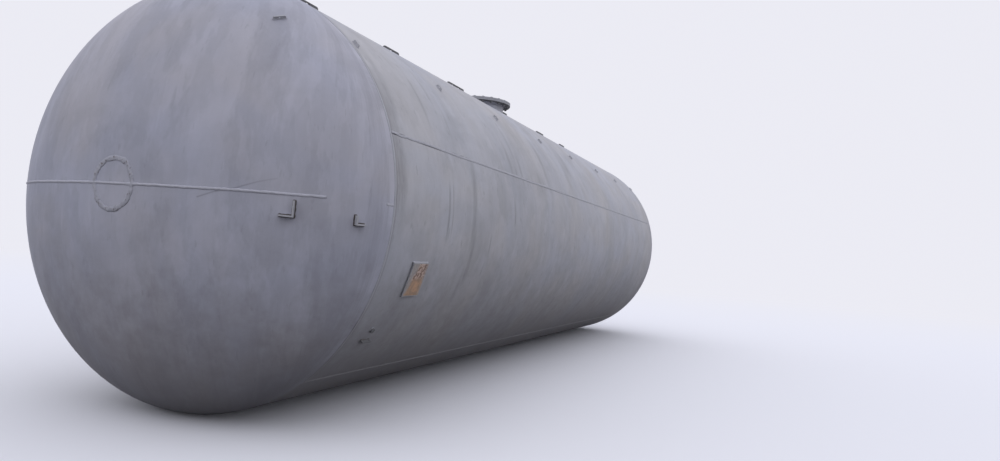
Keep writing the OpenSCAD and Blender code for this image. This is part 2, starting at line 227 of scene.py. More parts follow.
def span(tree, value, low, high, to_low=0.0, to_high=1.0):
    """Maps low..high smoothly to to_low..to_high."""
    return add(tree, "ShaderNodeMapRange", {
        "Value": value, "From Min": low, "From Max": high,
        "To Min": to_low, "To Max": to_high}, interpolation_type="SMOOTHSTEP").outputs[0]


def blend(tree, share, below, above, how="MIX"):
    """Mixes two colours by share."""
    return add(tree, "ShaderNodeMix", {0: share, 6: below, 7: above},
               data_type="RGBA", blend_type=how).outputs[2]


def fold(tree, operation, values):
    """Puts many values together with one operation, such as to their MAXIMUM."""
    total = values[0]
    for value in values[1:]:
        total = sums(tree, operation, total, value)
    return total


def stack(tree, *values):
    """Adds values up."""
    return fold(tree, "ADD", values)


def weigh(tree, value, weight):
    """How far a noise is above its middle, times a weight."""
    return times(tree, minus(tree, value, 0.5), weight)


def distance(tree, a, b):
    """Distance from the origin of a point at a and b."""
    return sums(tree, "SQRT", plus(tree, times(tree, a, a), times(tree, b, b)))


def vector(tree, x, y, z):
    return add(tree, "ShaderNodeCombineXYZ", {"X": x, "Y": y, "Z": z}).outputs[0]


def shade(tint, factor=1.0):
    """A colour with its alpha, made lighter or darker."""
    return tuple(c * factor for c in tint) + (1,)


def toned(tree, colour, tone):
    """A colour times a grey tone."""
    return blend(tree, 1.0, colour, vector(tree, tone, tone, tone), "MULTIPLY")


def tank_place(tree):
    """Object coordinates about the tank's axis: (vector, x, y, z)."""
    place = add(tree, "ShaderNodeTexCoord").outputs["Object"]
    centred = add(tree, "ShaderNodeMapping", {"Vector": place, "Location": (0, 0, -AXIS_H)}).outputs[0]
    x, y, z = add(tree, "ShaderNodeSeparateXYZ", {"Vector": centred}).outputs
    return centred, x, y, z


def angle_round(tree, y, z):
    """Angle round the tank, in degrees."""
    return times(tree, sums(tree, "ARCTAN2", z, times(tree, y, -1.0)), 180 / math.pi)


def run_off(tree, x, y, z, angle, runs):
    """Two coordinates on the surface, in metres: across the way that rain runs off, and along it."""
    if runs == "round":
        return x, times(tree, angle, SHELL_R * math.pi / 180)
    # On a dished end of this form, y divided by the fourth root of the depth stays the same down a line
    depth = larger(tree, minus(tree, sums(tree, "ABSOLUTE", x), TANGENT_X), 0.03)
    return sums(tree, "DIVIDE", y, sums(tree, "POWER", depth, 0.25)), z


def mud_and_ground_shade(tree, paint, z, mottle, start, share, mud_and_shade_colour):
    """Darker towards the ground, from a height about the axis down: mud, and painted shade from the
    ground.
    """
    low = span(tree, plus(tree, z, weigh(tree, mottle, 0.9)), start, -1.5)
    return blend(tree, times(tree, low, share), paint, mud_and_shade_colour)


# Run-off stripes and scuffs on the front of the shell: place along the tank, half width, lowest and
# highest angle, edge softness, strength
SHELL_STRIPES = [
    (-4.93, 0.13, -4, 30, 9, 0.8), (-4.86, 0.07, 20, 44, 9, 0.5), (-4.95, 0.035, 4, 17, 4, 1.0),
    (-4.29, 0.030, 24, 40, 5, 0.6), (-4.04, 0.040, 33, 46, 5, 0.5), (-4.12, 0.028, -7, 8, 3, 1.0),
    (-4.05, 0.018, -5, 9, 3, 0.8), (-3.61, 0.060, -8, 16, 5, 0.8), (-3.57, 0.045, -20, -4, 5, 0.9),
    (-3.64, 0.040, -27, -17, 4, 0.6), (-3.77, 0.10, 26, 44, 8, 0.35), (-2.56, 0.060, 17, 29, 4, 0.7),
    (-2.38, 0.060, 25, 39, 5, 0.6), (-2.27, 0.050, 16, 26, 4, 0.7), (-1.62, 0.16, 16, 22, 2, 0.5),
    (-0.14, 0.16, 30, 50, 6, 0.5), (-3.19, 0.022, -10, -4, 2, 0.9), (-2.61, 0.035, 0, 9, 2, 1.0),
    (-3.23, 0.024, -17, -13, 2, 0.7), (-3.91, 0.022, 24, 31, 3, 0.5), (-1.35, 0.08, 22, 40, 6, 0.6),
]


def stripe(tree, x, angle, at_x, half_x, low, high, soft):
    """A soft stripe that runs round the shell at at_x between two angles."""
    off = sums(tree, "ABSOLUTE", minus(tree, x, at_x))
    across = span(tree, off, half_x, half_x * 0.15)
    up = span(tree, angle, low - soft, low + soft)
    down = span(tree, angle, high + soft, high - soft)
    return times(tree, across, times(tree, up, down))


def shell_marks(tree, paint, dark_paint, x, angle, streaks):
    """The run-off stripes and scuffs, broken up by fine streaks."""
    stripes = [times(tree, stripe(tree, x, angle, *shape), strength)
               for *shape, strength in SHELL_STRIPES]
    worn = times(tree, fold(tree, "MAXIMUM", stripes), span(tree, streaks, 0.25, 0.65, 0.35, 1.0))
    return blend(tree, times(tree, worn, 0.52), paint, dark_paint)


# Darker and lighter places on the near dished end: y, height from the axis, half width, half height,
# how much of the edge is soft, strength (above 0 is darker)
END_SPOTS = [
    (-0.99, 0.96, 0.035, 0.22, 0.8, 0.5), (-1.14, 0.86, 0.045, 0.28, 0.8, 0.45),
    (-1.22, 0.66, 0.05, 0.30, 0.8, 0.3), (-0.40, 0.60, 0.018, 0.12, 0.7, 0.6),
    (0.54, -0.28, 0.022, 0.20, 0.7, -0.55), (0.30, -0.62, 0.42, 0.30, 0.6, 0.35),
    (-0.08, -0.57, 0.16, 0.10, 0.6, -0.3), (-0.62, 0.35, 0.20, 0.40, 0.9, -0.25),
    (-0.75, -1.0, 0.5, 0.25, 0.7, 0.3), (-1.40, 0.15, 0.24, 0.65, 0.9, 0.5),
    (0.66, -0.70, 0.34, 0.50, 0.6, 0.65),
]
# Points of the long scratch on the near dished end: distance from the axis and angle
SCRATCH = [(0.692, -5.0), (0.796, -1.5), (0.925, 0.6), (1.072, 3.4), (1.189, 4.6)]


def end_spots(tree, y, z):
    """Share of the darker and of the lighter places, as (darker, lighter)."""
    darker, lighter = [], []
    for at_y, at_z, half_y, half_z, soft, strength in END_SPOTS:
        off_y = sums(tree, "DIVIDE", minus(tree, y, at_y), half_y)
        off_z = sums(tree, "DIVIDE", minus(tree, z, at_z), half_z)
        one = span(tree, distance(tree, off_y, off_z), 1.0, 1.0 - soft, 0.0, abs(strength))
        (darker if strength > 0 else lighter).append(one)
    # A rounded field of darker paint over the upper half of the pole
    near_pole = span(tree, distance(tree, y, z), 0.47, 0.40, 0.0, 0.42)
    darker.append(times(tree, near_pole, span(tree, z, -0.02, 0.08)))
    return fold(tree, "MAXIMUM", darker), fold(tree, "MAXIMUM", lighter)


def scratch_line(tree, y, z):
    """How much the scratch covers. Seen along the tank, it is a chain of straight strokes."""
    points = [(-r * math.cos(math.radians(a)), r * math.sin(math.radians(a))) for r, a in SCRATCH]
    strokes = []
    for (y0, z0), (y1, z1) in zip(points, points[1:]):
        length = math.hypot(y1 - y0, z1 - z0)
        uy, uz = (y1 - y0) / length, (z1 - z0) / length
        dy, dz = minus(tree, y, y0), minus(tree, z, z0)
        # How far along the stroke its nearest point lies, then the distance to that point
        along = plus(tree, times(tree, dy, uy), times(tree, dz, uz))
        along = sums(tree, "MINIMUM", larger(tree, along, 0.0), length)
        off_y, off_z = minus(tree, dy, times(tree, along, uy)), minus(tree, dz, times(tree, along, uz))
        strokes.append(distance(tree, off_y, off_z))
    line = span(tree, fold(tree, "MINIMUM", strokes), 0.008, 0.002, 0.0, 0.42)
    return times(tree, line, span(tree, y, -1.19, -0.95, 0.35, 1.0))


def end_marks(tree, paint, dark_paint, light_paint, y, z, streaks):
    """The darker and lighter places of the near dished end, and its long scratch."""
    darker, lighter = end_spots(tree, y, z)
    ragged = span(tree, streaks, 0.3, 0.6, 0.5, 1.0)
    paint = blend(tree, times(tree, times(tree, darker, ragged), 0.30), paint, dark_paint)
    paint = blend(tree, times(tree, lighter, 0.26), paint, light_paint)
    return blend(tree, scratch_line(tree, y, z), paint, dark_paint)


# How the paint differs between the shell, where rain runs round it, and the dished ends, where it runs
# down: length and contrast of the rolled areas, share of the drips, height where the darkening towards
# the ground starts (mud and painted shade), its share
PAINT_RUNS = {"round": (1.15, 0.7, 0.28, -0.1, 0.74), "down": (0.8, 1.0, 0.16, -0.25, 0.58)}
# Streaks get weaker between these heights above the axis
STREAKS_FADE = (0.5, 1.25)


def shell_paint(name, runs, tint, marks=False):
    """Grey primer rolled on in patches, with rain streaks, dust and grime. Streaks run round the
    shell or down the dished ends."""
    area_length, contrast, drip_share, ground_shade_start, ground_shade_share = PAINT_RUNS[runs]
    finish, tree = begin(name)
    place, x, y, z = tank_place(tree)
    angle = angle_round(tree, y, z)
    across, down = run_off(tree, x, y, z, angle, runs)
    flow = vector(tree, times(tree, across, 8.0), times(tree, down, 0.95), times(tree, down, 0.2))
    broad = patches(tree, place, 0.55, 2.0, 0.5, twist=0.6)
    rolled = patches(tree, place, 1.9, 4.0, 0.6, twist=0.9, shift=(3, 1, 7))
    mottle = patches(tree, place, 7.5, 5.0, 0.65, shift=(9, 2, 4))
    streak = patches(tree, flow, 1.0, 4.0, 0.62)
    fine_streak = patches(tree, flow, 4.2, 3.0, 0.6, shift=(5, 5, 5), stretch=(1, 1.6, 1))
    dashes = patches(tree, flow, 3.4, 2.0, 0.5, shift=(2, 9, 1), stretch=(1, 2.6, 1))
    grain = patches(tree, place, 90, 3.0, 0.6)
    # Areas as the roller left them, with ragged upright edges
    strokes = vector(tree, times(tree, across, 1.9), times(tree, down, area_length), times(tree, x, 0.3))
    large_areas = span(tree, patches(tree, strokes, 0.8, 5.0, 0.58, shift=(4, 6, 2)), 0.485, 0.515)
    small_areas = span(tree, patches(tree, strokes, 2.1, 5.0, 0.6, shift=(8, 3, 5)), 0.47, 0.53)

    streak_weight = span(tree, z, *STREAKS_FADE, 0.20, 0.08) if runs == "round" else 0.13
    tone = stack(tree, 1.0,
                 weigh(tree, large_areas, 0.075 * contrast), weigh(tree, small_areas, 0.06 * contrast),
                 weigh(tree, broad, 0.20), weigh(tree, span(tree, rolled, 0.38, 0.62), 0.07),
                 weigh(tree, mottle, 0.15), weigh(tree, streak, streak_weight),
                 weigh(tree, fine_streak, span(tree, z, *STREAKS_FADE, 0.09, 0.045)),
                 weigh(tree, grain, 0.05))
    cool = tuple(c * f for c, f in zip(tint, (0.97, 0.988, 1.03))) + (1,)
    warm = tuple(c * f for c, f in zip(tint, (1.025, 1.0, 0.965))) + (1,)
    hue = patches(tree, place, 0.8, 3.0, 0.6, shift=(1, 8, 2), twist=0.5)
    paint = toned(tree, blend(tree, span(tree, hue, 0.3, 0.7), cool, warm), tone)

    dark_paint = shade(tint, 0.42)
    # Short dark drips where the roller left sags
    paint = blend(tree, times(tree, span(tree, dashes, 0.66, 0.74), drip_share), paint, dark_paint)
    # Mud and painted shade: darker towards the ground
    paint = mud_and_ground_shade(tree, paint, z, mottle, ground_shade_start, ground_shade_share, (0.18, 0.168, 0.175, 1))
    # Grime that gathers under the run-off
    grime = times(tree, span(tree, streak, 0.56, 0.74), span(tree, mottle, 0.35, 0.7))
    paint = blend(tree, times(tree, grime, span(tree, z, *STREAKS_FADE, 0.20, 0.10)), paint, dark_paint)
    off_girth = minus(tree, sums(tree, "ABSOLUTE", x), GIRTH_X)
    if runs == "round":
        # Painted shade: a dark line on the shell at the foot of the round welds
        weld_foot_shade = span(tree, plus(tree, off_girth, weigh(tree, mottle, 0.03)), -0.040, -0.014)
        paint = blend(tree, times(tree, weld_foot_shade, 0.42), paint, dark_paint)
    else:
        # Painted highlight: brighter patches beside the girth weld, with a ragged edge
        ragged = plus(tree, off_girth, weigh(tree, mottle, 0.05))
        weld_side_highlight = times(tree, span(tree, ragged, 0.10, 0.06), span(tree, off_girth, 0.012, 0.03))
        weld_side_highlight = times(tree, weld_side_highlight, span(tree, rolled, 0.42, 0.62, 0.15, 1.0))
        paint = blend(tree, times(tree, weld_side_highlight, 0.13), paint, shade(tint, 1.5))
    if marks and runs == "round":
        paint = shell_marks(tree, paint, dark_paint, x, angle, fine_streak)
    elif marks:
        paint = end_marks(tree, paint, dark_paint, shade(tint, 1.4), y, z, fine_streak)

    rough = stack(tree, 0.66, weigh(tree, mottle, 0.16), weigh(tree, streak, -0.14))
    height = stack(tree, weigh(tree, grain, 0.12), weigh(tree, mottle, 0.5),
                   weigh(tree, fine_streak, 0.2))
    end(tree, paint, rough, height, specular=0.28, bump=0.55, reach=0.004)
    return finish


def bead_paint(name, tint=(0.41, 0.41, 0.465), pit_grime_and_shade_share=0.4):
    """The same paint over weld metal: rippled, duller, with grime and painted shade in its pits."""
    finish, tree = begin(name)
    place, _, _, z = tank_place(tree)
    lumps = patches(tree, place, 38, 4.0, 0.6)
    mottle = patches(tree, place, 6.0, 4.0, 0.6, shift=(4, 4, 1))
    pits = patches(tree, place, 160, 2.0, 0.5)
    tone = stack(tree, 1.0, weigh(tree, lumps, 0.28), weigh(tree, mottle, 0.24), weigh(tree, pits, 0.08))
    paint = toned(tree, shade(tint), tone)
    fewer = 0.2 * pit_grime_and_shade_share
    # Dark spots: grime, and painted shade in the pits
    grime = span(tree, lumps, 0.70 - fewer, 0.82 - fewer, 0.0, pit_grime_and_shade_share)
    paint = blend(tree, grime, paint, (0.13, 0.11, 0.105, 1))
    # Mud and painted shade: darker towards the ground, as on the shell
    paint = mud_and_ground_shade(tree, paint, z, mottle, -0.25, 0.62, (0.19, 0.18, 0.18, 1))
    rough = stack(tree, 0.62, weigh(tree, lumps, 0.3))
    height = stack(tree, weigh(tree, lumps, 1.0), weigh(tree, pits, 0.2))
    end(tree, paint, rough, height, specular=0.3, bump=0.8, reach=0.003)
    return finish


def worn_paint(name, tint, rust, shade_below=-9.0):
    """Paint on small fittings: thin on the edges, with rust breaking through, and with painted shade
    below a height above the ground."""
    finish, tree = begin(name)
    place, _, _, z = tank_place(tree)
    lumps = patches(tree, place, 22, 5.0, 0.65)
    flakes = patches(tree, place, 75, 4.0, 0.6, twist=0.6)
    grain = patches(tree, place, 240, 2.0, 0.5)
    paint = toned(tree, shade(tint), stack(tree, 1.0, weigh(tree, lumps, 0.35), weigh(tree, grain, 0.1)))
    bare = span(tree, plus(tree, times(tree, lumps, 0.6), times(tree, flakes, 0.5)),
                0.66 - 0.1 * rust, 0.76 - 0.1 * rust)
    rusty = blend(tree, flakes, (0.10, 0.042, 0.022, 1), (0.25, 0.115, 0.055, 1))
    colour = blend(tree, times(tree, bare, rust), paint, rusty)
    # Painted shade below the given height, such as under the manway's flange
    shade_top = shade_below - AXIS_H
    grime = span(tree, z, shade_top + 0.004, shade_top, 0.0, 0.7)
    colour = blend(tree, grime, colour, (0.085, 0.08, 0.08, 1))
    rough = stack(tree, 0.6, weigh(tree, flakes, 0.3), times(tree, bare, 0.2))
    height = stack(tree, weigh(tree, flakes, 0.6), weigh(tree, grain, 0.2), times(tree, bare, -0.5))
    end(tree, colour, rough, height, specular=0.35, bump=0.7, reach=0.0012)
    return finish


def rubber(name):
    """Compressed gasket sheet, dusty at the edge."""
    finish, tree = begin(name)
    place = tank_place(tree)[0]
    fibre = patches(tree, place, 120, 4.0, 0.6)
    dust = span(tree, patches(tree, place, 14, 4.0, 0.6), 0.4, 0.75, 0.0, 0.6)
    colour = blend(tree, dust, (0.035, 0.035, 0.037, 1), (0.17, 0.16, 0.15, 1))
    rough = stack(tree, 0.75, weigh(tree, fibre, 0.2))
    end(tree, colour, rough, fibre, specular=0.3, bump=0.5, reach=0.0008)
    return finish


def rusted_plate(name, centre, turn):
    """Bare sheet steel with orange rust, pale scraped spots and grey overspray in a corner."""
    finish, tree = begin(name)
    place = add(tree, "ShaderNodeTexCoord").outputs["Object"]
    local = add(tree, "ShaderNodeMapping",
                {"Vector": place, "Location": tuple(-c for c in centre)}).outputs[0]
    flat = add(tree, "ShaderNodeMapping", {"Vector": local, "Rotation": (turn, 0, 0)}).outputs[0]
    u, v, _ = add(tree, "ShaderNodeSeparateXYZ", {"Vector": flat}).outputs
    clouds = patches(tree, flat, 13, 5.0, 0.65, twist=0.5)
    spots = patches(tree, flat, 36, 4.0, 0.6, shift=(3, 3, 3), twist=0.4)
    grain = patches(tree, flat, 220, 3.0, 0.6)
    colour = blend(tree, span(tree, clouds, 0.38, 0.62), (0.33, 0.225, 0.16, 1), (0.53, 0.32, 0.20, 1))
    # The upper half is scraped: pale pinkish metal between dark brown pits
    upper = span(tree, plus(tree, v, weigh(tree, clouds, 0.14)), -0.02, 0.03)
    scraped = blend(tree, span(tree, spots, 0.42, 0.58), (0.19, 0.12, 0.10, 1), (0.60, 0.47, 0.42, 1))
    colour = blend(tree, times(tree, upper, 0.85), colour, scraped)
    # Overspray of the tank's paint: a wedge in the near upper corner, and a haze along the far edge
    wedge = minus(tree, plus(tree, u, weigh(tree, clouds, 0.09)), times(tree, v, 0.30))
    near_rim = span(tree, wedge, -0.045, -0.085)
    far_rim = times(tree, span(tree, plus(tree, u, weigh(tree, spots, 0.06)), 0.07, 0.11), 0.6)
    over = larger(tree, times(tree, near_rim, 0.85), far_rim)
    colour = blend(tree, over, colour, (0.35, 0.335, 0.335, 1))
    rough = stack(tree, 0.6, weigh(tree, spots, 0.3))
    height = stack(tree, spots, times(tree, grain, 0.4))
    end(tree, colour, rough, height, metallic=0.1, specular=0.35, bump=0.8, reach=0.0012)
    return finish


# ---- Modelling by hand

def drop_selection():
    for thing in bpy.context.selected_objects:
        thing.select_set(False)


def take(piece):
    """Selects only this piece."""
    drop_selection()
    piece.select_set(True)
    bpy.context.view_layer.objects.active = piece
    return piece


def settle(piece, place):
    """Moves a piece that was modelled at the origin to its place, in its mesh."""
    piece.data.transform(place)
    piece.data.update()
    return piece


def finish_piece(piece, name, material, replaces=()):
    """Names a piece, gives it its finish and lets it ride on the tank."""
    piece.name = name
    piece.data.name = name
    piece.data.materials.clear()
    piece.data.materials.append(material)
    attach(piece, "root")
    if replaces:
        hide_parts(*replaces)
    return piece


def copy_of(piece):
    made = piece.copy()
    made.data = piece.data.copy()
    bpy.context.scene.collection.objects.link(made)
    return made


def join(pieces):
    take(pieces[0])
    for other in pieces:
        other.select_set(True)
    bpy.ops.object.join()
    return bpy.context.object


def wave(*place):
    """Noise from -1 to 1 at a place."""
    return noise.noise(Vector(place))


def roughen(piece, size, scale, seed):
    """Makes a bead lumpy: each point moves along its normal by noise."""
    off = Vector((seed * 7.13, seed * 3.7, seed * 1.9))
    mesh = piece.data
    normals = [v.normal.copy() for v in mesh.vertices]
    for vertex, normal in zip(mesh.vertices, normals):
        vertex.co += normal * size * wave(*(vertex.co * scale + off))
    mesh.update()


def ring_bead(major, minor, around_steps, section=8):
    """Round bead lying flat about the origin."""
    drop_selection()
    bpy.ops.mesh.primitive_torus_add(major_radius=major, minor_radius=minor,
                                     major_segments=around_steps, minor_segments=section)
    return take(bpy.context.object)


def pick_edges(piece, wanted):
    """Opens a piece in edit mode with the edges selected for whose ends wanted(a, b) holds."""
    take(piece)
    bpy.ops.object.mode_set(mode="EDIT")
    bpy.ops.mesh.select_mode(type="EDGE")
    bpy.ops.mesh.select_all(action="DESELECT")
    bpy.ops.object.mode_set(mode="OBJECT")
    points = piece.data.vertices
    for edge in piece.data.edges:
        edge.select = wanted(*(points[i].co for i in edge.vertices))
    bpy.ops.object.mode_set(mode="EDIT")


def round_bar(radius, length, rings, sides=10):
    """Round bar along Y about the origin, cut into rings."""
    drop_selection()
    bpy.ops.mesh.primitive_cylinder_add(vertices=sides, radius=radius, depth=length,
                                        rotation=(math.pi / 2, 0, 0))
    piece = take(bpy.context.object)
    bpy.ops.object.transform_apply(rotation=True)
    while rings > 1:
        cuts = min(rings, 60)
        pick_edges(piece, lambda a, b: abs(a.y - b.y) > 1e-4)
        bpy.ops.mesh.subdivide(number_cuts=cuts - 1)
        bpy.ops.object.mode_set(mode="OBJECT")
        rings = round(rings / cuts)
    return piece


def lay_along(piece, path):
    """Bends a bar along a path: path(s) gives a point of the surface and the way out of it, as
    (x, y) pairs."""
    for vertex in piece.data.vertices:
        out, s, up = vertex.co
        (x, y), (nx, ny) = path(s)
        vertex.co = (x + nx * out * BEAD_RISE, y + ny * out * BEAD_RISE, AXIS_H + up)
    piece.data.update()
    return piece


def on_crown(piece, base_r):
    """Drops a piece that was modelled flat at z = 0 onto the crown, where it follows the curve."""
    for vertex in piece.data.vertices:
        y, z = vertex.co.y, vertex.co.z
        vertex.co.z = AXIS_H + math.sqrt((base_r + z) ** 2 - y * y)
    piece.data.update()
    return piece


def outline_bead(corners, bead_r, step):
    """Bead of round section along a closed outline at z = 0, given by its (x, y) corners."""
    points = []
    for (x0, y0), (x1, y1) in zip(corners, corners[1:] + corners[:1]):
        cuts = max(1, round(math.hypot(x1 - x0, y1 - y0) / step))
        points += [(x0 + (x1 - x0) * i / cuts, y0 + (y1 - y0) * i / cuts, 0.0) for i in range(cuts)]
    drop_selection()
    bpy.ops.mesh.primitive_circle_add(vertices=len(points), radius=1, fill_type="NOTHING")
    piece = take(bpy.context.object)
    for vertex, point in zip(piece.data.vertices, points):
        vertex.co = point
    bpy.ops.object.convert(target="CURVE")
    piece = bpy.context.object
    piece.data.bevel_depth = bead_r
    piece.data.bevel_resolution = 2
    bpy.ops.object.convert(target="MESH")
    return take(bpy.context.object)


def foot_bead(foot, out, bead_r, step):
    """Bead round an oblong foot (length, width), out of its corner by out."""
    x, y = [(size + 2 * out) / 2 for size in foot]
    return outline_bead([(-x, -y), (x, -y), (x, y), (-x, y)], bead_r, step)


def smooth(piece, degrees=180):
    take(piece)
    bpy.ops.object.shade_smooth_by_angle(angle=math.radians(degrees))
    return piece


def on_shell(x, degrees, height=0.0):
    """Place on the shell: local Z outwards, Y round the tank to larger angles, X along it."""
    return (Matrix.Translation((x, 0, AXIS_H)) @ Matrix.Rotation(math.radians(90 - degrees), 4, "X")
            @ Matrix.Translation((0, 0, SHELL_R + height)))


def head_x(r):
    """How far a dished end stands out at a distance from the axis."""
    return HEAD_DEPTH * math.sqrt(max(0.0, 1 - (r / SHELL_R) ** 2))


def skin_r(x):
    """Radius of the shell and of the far dished end at x."""
    past = max(0.0, x - TANGENT_X) / HEAD_DEPTH
    return SHELL_R * math.sqrt(1 - past ** 2)


def on_head(r, degrees, height=0.0):
    """Place on the far dished end: local Z out of the surface, local X towards the pole."""
    lean = math.atan2(r * HEAD_DEPTH ** 2, max(1e-6, head_x(r)) * SHELL_R ** 2)
    return (Matrix.Translation((TANGENT_X, 0, AXIS_H))
            @ Matrix.Rotation(math.radians(90 - degrees), 4, "X")
            @ Matrix.Translation((head_x(r), 0, r)) @ Matrix.Rotation(math.pi / 2 - lean, 4, "Y")
            @ Matrix.Translation((0, 0, height)))


def to_near(piece):
    """Mirrors a piece from the far end to the near end, and turns its faces out again."""
    piece.data.transform(Matrix.Scale(-1, 4, (1, 0, 0)))
    piece.data.flip_normals()
    piece.data.update()
    return piece


# ---- Bolts

CHAMFER, WASHER_H, NUT_TURN = 0.0012, 0.004, 0.4
# Radius of the thread's root over that of its crest
THREAD_ROOT = 0.9


def hex_nut(across_flats, height):
    """Hexagon nut or head standing on z = 0."""
    drop_selection()
    bpy.ops.mesh.primitive_cylinder_add(vertices=6, radius=across_flats / math.sqrt(3), depth=height,
                                        location=(0, 0, height / 2))
    piece = take(bpy.context.object)
    bpy.ops.object.transform_apply(location=True)
    pick_edges(piece, lambda a, b: abs(a.z - b.z) < 1e-6)
    bpy.ops.mesh.bevel(offset=CHAMFER, segments=2)
    bpy.ops.object.mode_set(mode="OBJECT")
    return piece


def washer(radius):
    """Washer standing on z = 0, with broken rims. Its hole is filled by the shank."""
    drop_selection()
    bpy.ops.mesh.primitive_cylinder_add(vertices=24, radius=radius, depth=WASHER_H,
                                        location=(0, 0, WASHER_H / 2))
    piece = take(bpy.context.object)
    bpy.ops.object.transform_apply(location=True)
    rims = piece.modifiers.new("rims", "BEVEL")
    rims.width, rims.segments = WASHER_H * 0.2, 1
    rims.limit_method, rims.angle_limit = "ANGLE", math.radians(50)
    bpy.ops.object.modifier_apply(modifier="rims")
    return piece


def threaded_shank(radius, length, pitch, turns):
    """Bolt shank from z = 0 down, with thread rings at its lower end."""
    drop_selection()
    bpy.ops.mesh.primitive_circle_add(vertices=14, radius=radius * 0.86, fill_type="NGON",
                                      location=(0, 0, -length))
    piece = take(bpy.context.object)
    bpy.ops.object.transform_apply(location=True)
    bpy.ops.object.mode_set(mode="EDIT")
    bpy.ops.mesh.select_all(action="SELECT")

    def grow(rise, factor):
        bpy.ops.mesh.extrude_region_move(TRANSFORM_OT_translate={"value": (0, 0, rise)})
        bpy.ops.transform.resize(value=(factor, factor, 1))

    grow(pitch * 0.4, 1 / THREAD_ROOT)
    for _ in range(turns):
        grow(pitch * 0.5, THREAD_ROOT)
        grow(pitch * 0.5, 1 / THREAD_ROOT)
    grow(length - pitch * (0.4 + turns), 1.0)
    bpy.ops.mesh.select_all(action="SELECT")
    bpy.ops.mesh.normals_make_consistent(inside=False)
    bpy.ops.object.mode_set(mode="OBJECT")
    return piece


def hex_bolt(across_flats, head_h, nut_h, shank_r, grip, poke):
    """Bolt with its head up, a washer and a nut under the grip; z = 0 is the top of the grip."""
    head = hex_nut(across_flats, head_h)
    nut = settle(hex_nut(across_flats, nut_h), Matrix.Translation((0, 0, -grip - WASHER_H - nut_h))
                 @ Matrix.Rotation(NUT_TURN, 4, "Z"))
    ring = settle(washer(across_flats * 0.61), Matrix.Translation((0, 0, -grip - WASHER_H)))
    shank = threaded_shank(shank_r, grip + nut_h + WASHER_H + poke, pitch=0.003, turns=5)
    return smooth(join([head, nut, ring, shank]), 32)


def bolt_circle(sample, name, x, top_z, pcd, count, material, seed):
    """Copies of one bolt round a flange, each turned a little as hands leave them."""
    chance = random.Random(seed)
    for i in range(count):
        turn = 2 * math.pi * (i + 0.5) / count
        made = copy_of(sample)
        spin = Matrix.Rotation(chance.uniform(0, math.pi / 3), 4, "Z")
        at = Matrix.Translation((x + pcd / 2 * math.cos(turn), pcd / 2 * math.sin(turn), top_z))
        settle(made, at @ spin)
        finish_piece(made, "%s_%02d" % (name, i + 1), material)


# ---- The tank's own pieces

def fit_bolts(material):
    """The bolts that go through the manway's flange, gasket and cover."""
    low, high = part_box("manway_flange")[0].z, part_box("manway_cover")[1].z
    sample = hex_bolt(across_flats=0.036, head_h=0.012, nut_h=0.0215, shank_r=0.012,
                      grip=high - low, poke=0.007)
    bolt_circle(sample, "manway_bolt", MANWAY_X, high, BOLT_CIRCLE, BOLT_COUNT, material, seed=11)
    bpy.data.objects.remove(sample)


def fit_crown_welds(material):
    """Fillet beads round the manway's pad, neck and flange, and round the lugs and their pads."""
    foot = on_crown(ring_bead(MANWAY_PAD_R + CROWN_OUT, 0.011, 260), PAD_SEAT + CROWN_OUT)
    neck = on_crown(ring_bead(NECK_R + CROWN_OUT, 0.011, 220), PAD_TOP + CROWN_OUT)
    collar = settle(ring_bead(NECK_R + BEAD_LIFT, 0.007, 200),
                    Matrix.Translation((0, 0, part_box("manway_flange")[0].z - BEAD_LIFT)))
    piece = settle(join([foot, neck, collar]), Matrix.Translation((MANWAY_X, 0, 0)))
    roughen(piece, size=0.0045, scale=55.0, seed=6)
    finish_piece(smooth(piece), "manway_welds", material)
    for i, (name, x, length) in enumerate(LUGS):
        pad = foot_bead((length + PAD_MORE, PAD_WIDTH), 0.0, 0.009, 0.018)
        foot = foot_bead((length, LUG_THICK), CROWN_OUT, 0.007, 0.011)
        piece = join([on_crown(pad, PAD_SEAT + CROWN_OUT), on_crown(foot, PAD_TOP + CROWN_OUT)])
        settle(piece, Matrix.Translation((x, 0, 0)))
        roughen(piece, size=0.0035, scale=60.0, seed=i + 2)
        finish_piece(smooth(piece), name + "_welds", material)


def fit_clip_welds(material):
    """Fillet beads at the feet of the clips."""
    sample = foot_bead(CLIP_FOOT, SMALL_OUT, 0.004, 0.006)
    for name, degrees in CLIP_ROWS:
        made = []
        for side in (NEAR, FAR):
            for x in CLIP_PLACES:
                one = settle(copy_of(sample), on_shell(side * x, degrees, BEAD_LIFT))
                roughen(one, size=0.002, scale=90.0, seed=len(made) + 1)
                made.append(one)
        finish_piece(smooth(join(made)), name + "_clip_welds", material)
    bpy.data.objects.remove(sample)
    for name, side in ENDS:
        one = settle(foot_bead(HEAD_CLIP_FOOT, SMALL_OUT, 0.004, 0.006),
                     on_head(HEAD_CLIP_R, HEAD_CLIP_ANGLE, BEAD_LIFT)
                     @ Matrix.Rotation(math.radians(HEAD_CLIP_TURN), 4, "Z"))
        if side == NEAR:
            to_near(one)
        roughen(one, size=0.002, scale=90.0, seed=len(name))
        finish_piece(smooth(one), name + "_head_clip_weld", material)


def l_shape(up, foot, thick, mirrored):
    """Corners of an angle bracket's foot."""
    side = -1 if mirrored else 1
    corners = ((0, 0), (foot, 0), (foot, thick), (thick, thick), (thick, up), (0, up))
    return [(side * x, y) for x, y in corners]


def fit_bracket_welds(material):
    """Burnt, rusty beads round the feet of the two angle brackets on the near dished end, dark enough to
    be painted shade at their feet as well.
    """
    made = []
    turn = Matrix.Rotation(math.radians(BRACKET_TURN), 4, "Z")
    for r, degrees, up, foot, mirrored in ANGLE_BRACKETS:
        corners = l_shape(up, foot, BRACKET_THICK, mirrored)
        one = settle(outline_bead(corners, 0.0078, 0.005), on_head(r, degrees, BEAD_LIFT) @ turn)
        made.append(to_near(one))
        roughen(one, size=0.0025, scale=80.0, seed=len(made))
    finish_piece(smooth(join(made)), "angle_bracket_welds", material)


